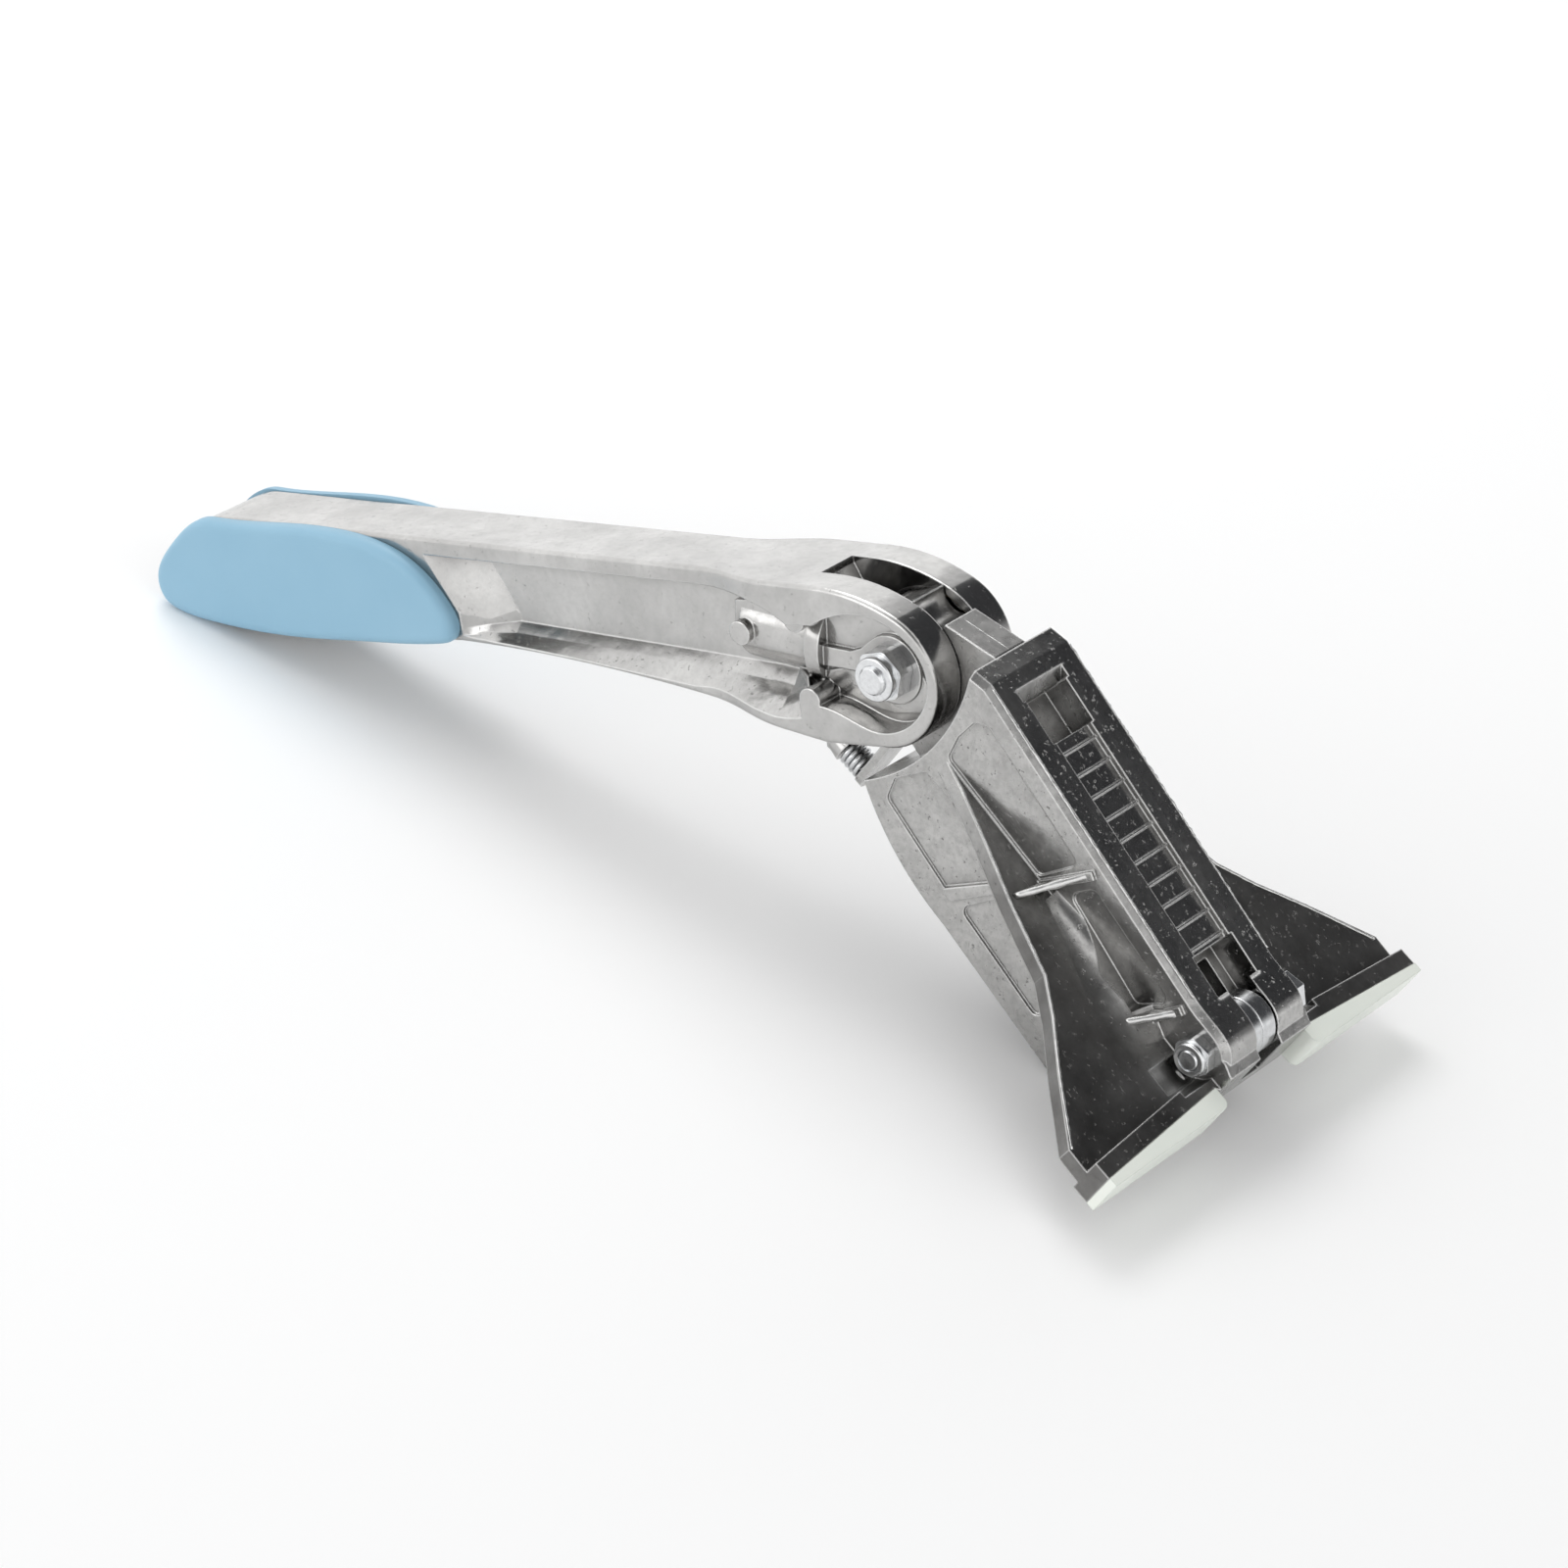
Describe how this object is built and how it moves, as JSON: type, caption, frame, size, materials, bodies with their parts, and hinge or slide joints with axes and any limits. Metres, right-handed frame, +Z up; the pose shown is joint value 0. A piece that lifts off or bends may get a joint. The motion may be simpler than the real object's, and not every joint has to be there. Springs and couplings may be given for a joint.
{
  "type": "tile cutter lever",
  "caption": "Hinged cast-metal hand lever: a padded handle on a pocketed lever body that ends in a winged, padded pressing foot and a roller fork.",
  "frame": {"origin": "middle of the object's box at floor level, in the plane half way between its two sides", "axes": "+X from the end of the handle to the foot, +Y along the pivot axis toward the bolt heads, +Z up, with the lever standing as an arch"},
  "size_m": [0.3716, 0.141, 0.1061],
  "materials": {
    "cast_handle": "satin die-cast skin, faintly pitted in the pockets",
    "cast_body": "satin die-cast skin, brighter on the edges",
    "grip": "pale blue, smooth and matte",
    "pad": "firm off-white elastomer",
    "zinc_steel": "bright zinc plate",
    "plain_steel": "turned and plain",
    "spring_steel": "drawn spring wire",
    "nylon": "natural nylon",
    "bush_bronze": "sintered bronze"
  },
  "bodies": {
    "lever": {"lever_body": "cast_body", "pad_near": "pad", "pad_far": "pad", "pivot_bush_near": "bush_bronze", "pivot_bush_far": "bush_bronze", "fork_bolt": "zinc_steel", "fork_nut": "zinc_steel", "fork_nut_ring": "nylon", "fork_washer": "zinc_steel", "fork_spacer": "plain_steel", "fork_sleeve": "plain_steel"},
    "handle": {"handle_casting": "cast_handle", "grip_near": "grip", "grip_far": "grip", "pivot_bolt": "zinc_steel", "pivot_nut": "zinc_steel", "pivot_nut_ring": "nylon", "pivot_washer": "zinc_steel", "pivot_sleeve": "plain_steel", "bumper_peg": "plain_steel", "bumper_spring": "spring_steel", "detent_spring": "spring_steel"},
    "plunger": {"detent_plunger": "plain_steel"},
    "roller": {"fork_roller": "plain_steel"}
  },
  "joints": [
    {"name": "handle_pivot", "type": "hinge", "parent": "lever", "child": "handle", "pos_m": [0.06055, 0, 0.08643], "axis": [0, 1, 0], "range_deg": [0, 45]},
    {"name": "plunger_slide", "type": "slide", "parent": "handle", "child": "plunger", "axis": [-0.9803, 0, -0.1977], "range_m": [0, 0.002], "stiffness_N_per_m": 600, "springref_m": -0.008, "deforming": ["detent_spring"]},
    {"name": "roller_spin", "type": "hinge", "parent": "lever", "child": "roller", "pos_m": [0.17313, 0, 0.0281], "axis": [0, 1, 0], "continuous": true}
  ]
}
